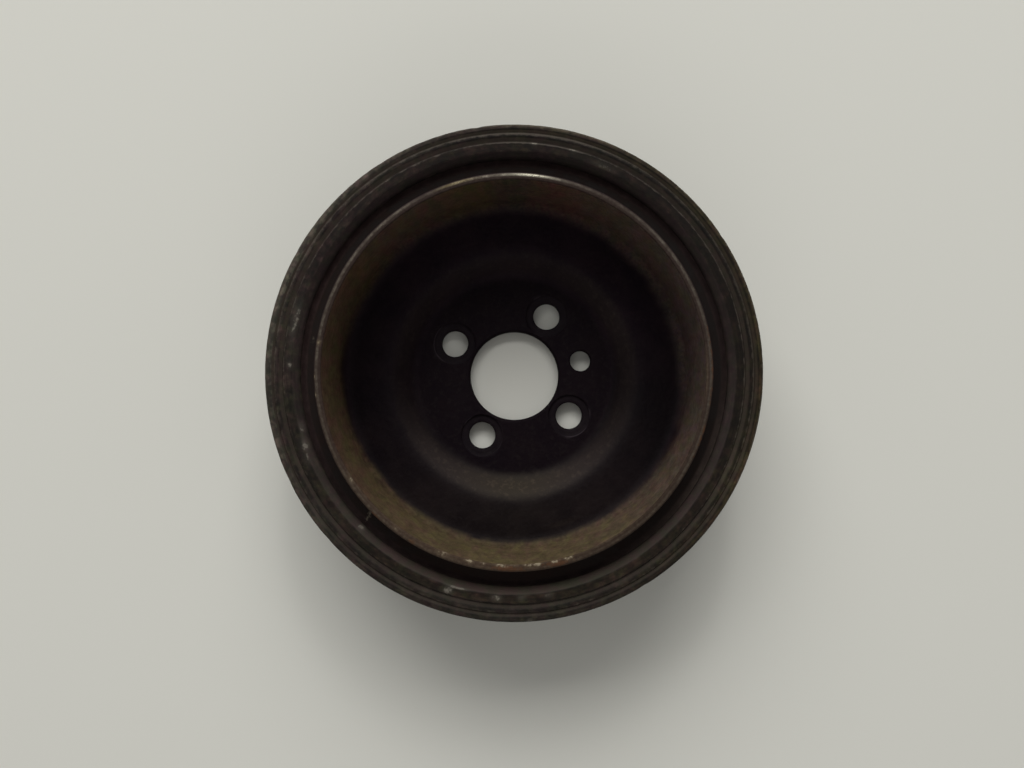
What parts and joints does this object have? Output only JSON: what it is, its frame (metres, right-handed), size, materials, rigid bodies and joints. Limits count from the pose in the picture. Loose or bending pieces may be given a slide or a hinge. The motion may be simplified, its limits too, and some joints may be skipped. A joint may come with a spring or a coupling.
{
  "type": "harmonic balancer",
  "caption": "Crankshaft harmonic balancer: a dished steel hub, bonded by rubber to a cast pulley ring with multi-rib belt grooves.",
  "frame": {"origin": "centre of the hub's rear mounting face, on the axis of rotation", "axes": "+Z along the axis, out of the open cup; +X through the first bolt hole and +Y through the second"},
  "size_m": [0.15, 0.15, 0.046],
  "materials": {
    "hub_steel": "black coat over formed steel, brown film of rust and dirt on the wall, bare worn lip",
    "damper_rubber": "dull black, dusty",
    "ring_iron": "dull black coat over turned cast iron, crests worn, dusty patches"
  },
  "bodies": {
    "root": {"hub": "hub_steel", "rubber_ring": "damper_rubber", "pulley_ring": "ring_iron"}
  },
  "joints": []
}
